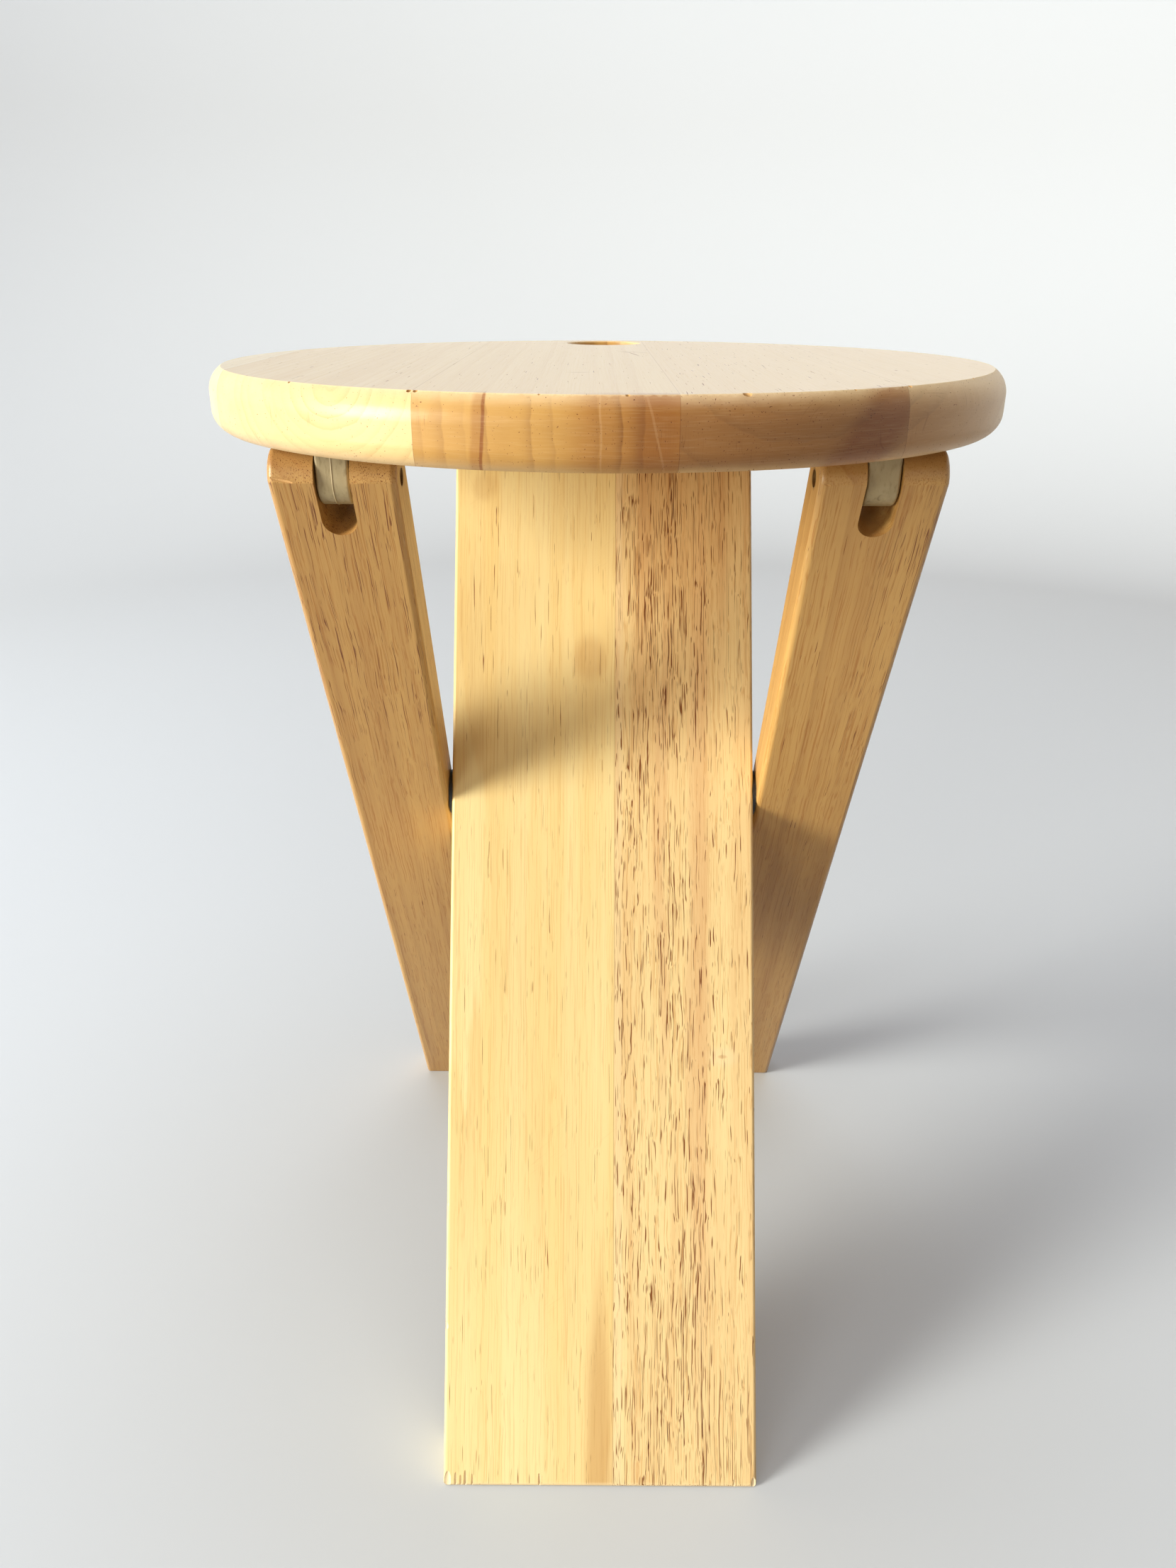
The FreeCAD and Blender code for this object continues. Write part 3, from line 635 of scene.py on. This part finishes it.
# Side legs: two narrow boards of the same hardwood, leaning back from the seat's front to the rear feet.
# The nose is sawn round and slotted for the hinge, so its end grain shows as dots, and the long edges are
# eased by hand before lacquering.
fold = next(joint for joint in frame["joints"] if joint["name"] == "centre_leg_fold")
LEAN = math.radians(fold["range_deg"][1]) / 2
PIVOT_HEIGHT = fold["pos_m"][2] * 1000
LEG_HALF_THICKNESS = 10.25


def long_edges(half_x, half_y, centre_x, centre_y):
    """The distance to the four edges along a board's grain, from its middle line once turned."""
    def distance(tree, board):
        off = vectors(tree, "SUBTRACT", board, (centre_x, centre_y, 0.0))
        axes = add(tree, "SeparateXYZ", {0: off}).outputs
        to_side = maths(tree, "SUBTRACT", half_x, maths(tree, "ABSOLUTE", axes["X"]))
        to_face = maths(tree, "SUBTRACT", half_y, maths(tree, "ABSOLUTE", axes["Y"]))
        return maths(tree, "MAXIMUM", to_side, to_face)
    return distance


LEG_TONES = ALL_WOOD | dict(
    early=tone(210, 171, 106), late=tone(170, 126, 70), streak=tone(195, 153, 92),
    end=tone(164, 121, 70), pore=tone(150, 104, 60), grime_and_shade=tone(34, 24, 16),
)
LEG_PORES = dict(density=0.2, width=0.36, length=26.0, sway=2.0)
NOSE_PORES = dict(density=0.9, width=0.36, length=34.0, sway=1.6)
NOSE_RADIUS = 10.75
PIN_HOLE_SHADE = (8.0, 4.5, 4.5)
PITH_BEHIND = 55.0
PITH_ALONG = 9.0
CHIP_TILT = math.radians(12)
CHIP_SEED = 60
CHIP_SEEDS = 10
SIDE_LEGS = {
    "left": dict(
        pith_x=-60.0, hole_x=-69.5,
        porous=dict(centre=(-90.0, 0.0, 400.0), size=(FAR, FAR, 190.0)),
        chips=[(-108.0, 31.0, 4.6, 0.6), (-86.5, 26.0, 1.0, 0.4)],
    ),
    "right": dict(
        pith_x=128.0, hole_x=69.5,
        porous=dict(centre=(114.0, 0.0, 340.0), size=(27.0, FAR, 130.0)),
        chips=[(72.0, 26.0, 1.2, 0.4)],
    ),
}
for number, (side, leg) in enumerate(SIDE_LEGS.items()):
    node = f"side_leg_{side}"
    low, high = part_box(node)
    middle_y = PIVOT_HEIGHT * math.sin(LEAN)
    hole = Matrix.Rotation(-LEAN, 3, "X") @ (pin * 1000)
    hole.x = leg["hole_x"]
    pith = (leg["pith_x"], middle_y + PITH_BEHIND, PITH_ALONG * leg["pith_x"])
    material = wood(
        f"leg_wood_{side}", (-LEAN, 0.0, 0.0), pith, LEG_TONES,
        rings=dict(ring_width=5.5, wander=6.0),
        pores=LEG_PORES, long_pores=[(leg["porous"], NOSE_PORES)], lines=0.7,
        edge=long_edges((high.x - low.x) * 500, LEG_HALF_THICKNESS, (low.x + high.x) * 500, middle_y),
        # painted shade: near-black inside each pin hole and around its mouth on the leg's inner face
        marks=[("grime_and_shade", 1.0, dict(centre=hole, size=PIN_HOLE_SHADE))],
        scuffs=0.1, end_shade=0.7, gloss=0.5, flat_gloss=0.5,
    )
    cutters = bmesh.new()
    for seed, (x, turn, half_length, depth) in enumerate(leg["chips"]):
        rise = math.radians(turn) - LEAN
        place = pin * 1000 + Vector((x, -NOSE_RADIUS * math.cos(rise), NOSE_RADIUS * math.sin(rise)))
        half_sizes = Vector((half_length, depth, depth)) / 1000
        tilt = Matrix.Rotation(CHIP_TILT, 4, "Y")
        dent_cutter(cutters, place / 1000, half_sizes, CHIP_SEED + number * CHIP_SEEDS + seed, tilt)
    shaped_piece(node, "side_legs", material, cutters, bruised_wood)


# Stop blocks: two small cleats of the leg wood under the seat, grain across the stool, each held by two
# countersunk screws. The centre leg's top edge bears on them.
ALONG_X = (0.0, math.radians(-90), 0.0)
STOP_PORES = dict(density=0.7, width=0.9, length=20.0, sway=0.8)
for side in ("left", "right"):
    node = f"stop_block_{side}"
    low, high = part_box(node)
    centre = (low + high) * 500
    half = (high - low) * 500
    dress(frame["nodes"][node], wood(
        f"stop_wood_{side}", ALONG_X, (-380.0, 90.0, centre.x * 3), LEG_TONES,
        rings=dict(ring_width=4.5, wander=3.0), pores=STOP_PORES,
        edge=long_edges(half.z, half.y, -centre.z, centre.y), scuffs=0.2,
    ))


# Centre leg: a wide board of two glued planks, the left smooth and pale, the right full of dark pores.
# It leans the other way, from the rear of the seat to a level-cut foot at the front, and turns on the pivot
# bolts. Years of being dragged have torn splinters out of the foot's front edge.
CENTRE_HALF_WIDTH = 68.0
FOOT_ALONG = -71.4
FOOT_ROUND = 1.5
SPLINTER_DEPTH = 0.9
NICK_STRETCH = 1.6
PLANK_SEEDS = 20
NICK_SEED = 10
LONG_PORES = dict(density=0.95, width=0.38, length=70.0, sway=1.6)
PLANKS = {
    "left": dict(
        pith=(-30.0, 190.0, 40.0),
        pores=dict(density=0.3, width=0.36, length=30.0, sway=1.4), lines=0.35,
        tones=dict(early=tone(250, 233, 178), late=tone(236, 206, 142), streak=tone(246, 221, 158)),
        marks=[
            ("dark", 0.45, dict(centre=(-0.5, 0.0, FOOT_ALONG), size=(8.5, FAR, 110.0), wobble=3.0)),
            ("dark", 0.28, dict(centre=(-5.0, 0.0, 293.0), size=(10.0, FAR, 14.0), wobble=8.0)),
            ("dark", 0.2, dict(centre=(-55.0, 0.0, 372.0), size=(9.0, FAR, 9.0), wobble=8.0)),
            ("worn", 0.8, dict(centre=(0.0, 0.0, FOOT_ALONG), size=(FAR, FAR, 3.5), wobble=1.0)),
        ],
        splinters=[
            (-66.4, 3.4, 5.0), (-62.8, 1.3, 4.5), (-60.6, 1.1, 3.5),
            (-58.6, 1.4, 5.5), (-55.6, 1.0, 4.0), (-26.4, 1.2, 4.4),
        ],
        nicks=[(-67.8, 66.0, 1.3), (-67.8, 118.0, 0.9), (-67.8, 214.0, 0.8)],
    ),
    "right": dict(
        pith=(34.0, 60.0, 900.0), thin_from=42.0,
        pores=dict(density=1.1, width=0.46, length=22.0, sway=2.6), lines=0.55,
        long_pores=[
            (dict(centre=(37.0, 0.0, 380.0), size=(50.0, FAR, 150.0)), LONG_PORES),
            (dict(centre=(37.0, 0.0, FOOT_ALONG), size=(50.0, FAR, 110.0)), LONG_PORES),
        ],
        tones=dict(early=tone(248, 226, 172), late=tone(220, 178, 122), streak=tone(236, 204, 150),
                   pore=tone(136, 92, 50), pink=tone(218, 170, 124)),
        marks=[
            # Partly darker wood and partly painted shade: this broad dark mark over the plank's top stands in
            # for the seat's shadow.
            ("dark", 0.5, dict(centre=(40.0, 0.0, 390.0), size=(45.0, FAR, 130.0), wobble=6.0)),
            ("pink", 0.4, dict(centre=(43.0, 0.0, 150.0), size=(7.0, FAR, 260.0), wobble=9.0)),
            ("pink", 0.35, dict(centre=(27.0, 0.0, 200.0), size=(4.0, FAR, 160.0), wobble=9.0)),
            ("worn", 0.35, dict(centre=(7.5, 0.0, 0.0), size=(2.5, FAR, FAR), wobble=2.0)),
            ("worn", 0.8, dict(centre=(0.0, 0.0, FOOT_ALONG), size=(FAR, FAR, 3.5), wobble=1.0)),
            ("worn", 0.4, dict(centre=(54.0, 0.0, 114.0), size=(9.0, FAR, 6.0))),
            ("dark", 0.4, dict(centre=(53.8, 0.0, 114.0), size=(2.6, FAR, 1.1))),
        ],
        splinters=[(66.6, 2.6, 3.0), (58.0, 1.2, 2.0)],
        nicks=[(67.8, 150.0, 0.8)],
    ),
}
fresh_wood = bare_wood("fresh_wood", tone(238, 214, 170), tone(252, 240, 212))
PLANK_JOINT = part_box("centre_leg_right_board")[0].x * 1000
UP_THE_LEG = Vector((0.0, math.sin(LEAN), math.cos(LEAN)))
for number, (side, plank) in enumerate(PLANKS.items()):
    node = f"centre_leg_{side}_board"
    low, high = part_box(node)
    face_start = Vector((
        0.0,
        low.y * 1000 + FOOT_ROUND * (1 - math.cos(LEAN)),
        FOOT_ROUND * (1 + math.sin(LEAN)),
    ))
    material = wood(
        f"centre_wood_{side}", (LEAN, 0.0, 0.0), plank["pith"], ALL_WOOD | plank["tones"],
        rings=dict(ring_width=6.0, wander=9.0), pores=plank["pores"], lines=plank["lines"],
        marks=plank["marks"], thin_from=plank.get("thin_from"), long_pores=plank.get("long_pores", ()),
        edge=long_edges(CENTRE_HALF_WIDTH, LEG_HALF_THICKNESS, 0.0, -PIVOT_HEIGHT * math.sin(LEAN)),
        glue=[PLANK_JOINT], scuffs=0.1,
    )
    cutters = bmesh.new()
    tilt = Matrix.Rotation(-LEAN, 4, "X")
    for seed, (x, width, height) in enumerate(plank["splinters"]):
        half_sizes = Vector((width / 2, SPLINTER_DEPTH, height)) / 1000
        place = face_start + Vector((x, 0.0, 0.0))
        dent_cutter(cutters, place / 1000, half_sizes, number * PLANK_SEEDS + seed, tilt)
    for seed, (x, along, size) in enumerate(plank["nicks"]):
        half_sizes = Vector((size, size, size * NICK_STRETCH)) / 1000
        place = face_start + Vector((x, 0.0, 0.0)) + UP_THE_LEG * along
        dent_cutter(cutters, place / 1000, half_sizes, number * PLANK_SEEDS + NICK_SEED + seed, tilt)
    shaped_piece(node, "centre_leg", material, cutters, fresh_wood)


# Pivot spacers: black moulded nylon washers, one on each pivot bolt, that keep the centre leg clear of the
# side legs. Only their dusty rims show, as dark lines at the crossing.
BLACK, DUST = tone(22, 22, 23), tone(58, 55, 50)


def make_black_nylon():
    """Black nylon with a little dust on it."""
    material, tree = new_material("black_nylon")
    place = in_millimetres(tree)
    dust = noise(tree, place, lump=(1.0, 1.0, 1.0), detail=4.0)[0]
    colour = mix(tree, ramp(tree, dust, 0.45, 0.8), BLACK, DUST)
    roughness = maths(tree, "MULTIPLY_ADD", dust, 0.25, 0.4)
    surface(tree, {"Base Color": colour, "Roughness": roughness})
    return material


black_nylon = make_black_nylon()
for side in ("left", "right"):
    dress(frame["nodes"][f"pivot_spacer_{side}"], black_nylon)


# Stage: a pale round cove, open at the top, whose floor runs up into its wall without a line. Seen from
# outside or below it is clear, so that it never hides the stool.
COVE_FLOOR_RADIUS = 1.6
COVE_BEND_RADIUS = 0.8
COVE_HEIGHT = 2.2
COVE_STEPS = 16
COVE_SIDES = 96
COVE_WELD = 0.0001
COVE_PAINT, COVE_BOUNCE = tone(211, 221, 236), tone(150, 138, 124)
profile = [Vector((0.0, 0.0, 0.0)), Vector((COVE_FLOOR_RADIUS, 0.0, 0.0))]
for step in range(1, COVE_STEPS + 1):
    turn = math.radians(90) * step / COVE_STEPS
    reach = COVE_FLOOR_RADIUS + COVE_BEND_RADIUS * math.sin(turn)
    profile.append(Vector((reach, 0.0, COVE_BEND_RADIUS * (1 - math.cos(turn)))))
profile.append(Vector((COVE_FLOOR_RADIUS + COVE_BEND_RADIUS, 0.0, COVE_HEIGHT)))
cove_mesh = bmesh.new()
points = [cove_mesh.verts.new(point) for point in profile]
edges = [cove_mesh.edges.new(pair) for pair in zip(points[:-1], points[1:])]
bmesh.ops.spin(
    cove_mesh, geom=points + edges, cent=(0, 0, 0), axis=(0, 0, 1), angle=math.tau, steps=COVE_SIDES,
)
bmesh.ops.remove_doubles(cove_mesh, verts=cove_mesh.verts, dist=COVE_WELD)
bmesh.ops.recalc_face_normals(cove_mesh, faces=cove_mesh.faces)
cove = bpy.data.objects.new("cove", bpy.data.meshes.new("cove"))
cove_mesh.to_mesh(cove.data)
cove_mesh.free()
cove.data.shade_smooth()
if cove.data.polygons[0].normal.z < 0:
    cove.data.flip_normals()
bpy.context.scene.collection.objects.link(cove)
cove_paint, tree = new_material("cove_paint")
bounced = add(tree, "LightPath").outputs["Is Diffuse Ray"]
shade = mix(tree, bounced, COVE_PAINT, COVE_BOUNCE)
paint = add(tree, "BsdfDiffuse", {"Color": shade}).outputs[0]
clear = add(tree, "BsdfTransparent").outputs[0]
outside = add(tree, "NewGeometry").outputs["Backfacing"]
painted = add(tree, "MixShader", {0: outside, 1: paint, 2: clear}).outputs[0]
add(tree, "OutputMaterial", {"Surface": painted})
cove.data.materials.append(cove_paint)
cove.visible_shadow = False


# Light: a tall warm softbox far off at the left and a weaker one at the front, both low and shining through
# the cove, with a faint panel overhead. Four cool panels inside wash the cove's wall so that it stays even
# all round, and a pale sky closes the view above it.
WORLD_GLOW, SKY = (1.0, 0.96, 0.9, 1.0), tone(226, 228, 232)
world = bpy.data.worlds.new("studio")
world.use_nodes = True
tree = world.node_tree
tree.nodes.clear()
glow = add(tree, "Background", {"Color": WORLD_GLOW, "Strength": 0.03}).outputs[0]
sky = add(tree, "Background", {"Color": SKY, "Strength": 1.0}).outputs[0]
looked_at = add(tree, "LightPath").outputs["Is Camera Ray"]
lit = add(tree, "MixShader", {0: looked_at, 1: glow, 2: sky}).outputs[0]
add(tree, "OutputWorld", {"Surface": lit})
bpy.context.scene.world = world
STOOL = Vector((0.0, 0.0, 0.28))
WARM, SOFT, COOL = (1.0, 0.93, 0.77), (1.0, 0.97, 0.92), (0.94, 0.97, 1.0)
for name, place, aim, size, power, colour in (
    ("key", (-5.5, -2.5, 1.85), STOOL, (2.0, 3.0), 640.0, WARM),
    ("front", (-3.2, -5.2, 1.5), STOOL, (2.0, 2.0), 55.0, WARM),
    ("overhead", (0.0, 0.2, 2.4), STOOL, (2.4, 2.4), 30.0, SOFT),
    ("rear_wall", (0.0, 0.9, 1.9), Vector((0.0, 2.4, 1.2)), (2.4, 0.6), 7.0, COOL),
    ("front_wall", (0.0, -0.9, 1.9), Vector((0.0, -2.4, 1.2)), (2.4, 0.6), 16.0, COOL),
    ("left_wall", (-0.9, 0.0, 1.9), Vector((-2.4, 0.0, 1.2)), (0.6, 2.4), 16.0, COOL),
    ("right_wall", (0.9, 0.0, 1.9), Vector((2.4, 0.0, 1.2)), (0.6, 2.4), 2.0, COOL),
):
    lamp = bpy.data.lights.new(name, "AREA")
    lamp.shape = "RECTANGLE"
    lamp.size, lamp.size_y = size
    lamp.energy = power
    lamp.color = colour
    light = bpy.data.objects.new(name, lamp)
    light.location = place
    light.rotation_euler = (aim - light.location).to_track_quat("-Z", "Y").to_euler()
    light.visible_camera = False
    bpy.context.scene.collection.objects.link(light)


# Camera: close to the stool and just above its seat, with a wide lens tilted down. Its place, its turn and
# its lens come from a fit to the stool's edges in the photograph, 1659 by 2212 pixels.
PHOTO_HEIGHT = 2212
FOCAL_PIXELS = 1585.6
SENSOR_MILLIMETRES = 36.0
CAMERA_PLACE = (-0.0051, -0.4708, 0.4794)
PITCH, YAW, ROLL = (math.radians(angle) for angle in (24.27, -0.18, 0.18))
camera = bpy.data.objects.new("camera", bpy.data.cameras.new("camera"))
camera.data.sensor_width = SENSOR_MILLIMETRES
camera.data.lens = FOCAL_PIXELS / PHOTO_HEIGHT * SENSOR_MILLIMETRES
camera.data.clip_start = 0.01
camera.matrix_world = (
    Matrix.Translation(CAMERA_PLACE)
    @ Matrix.Rotation(-YAW, 4, "Z")
    @ Matrix.Rotation(math.radians(90) - PITCH, 4, "X")
    @ Matrix.Rotation(ROLL, 4, "Z")
)
bpy.context.scene.collection.objects.link(camera)
bpy.context.scene.camera = camera
bpy.context.scene.view_settings.view_transform = "Standard"
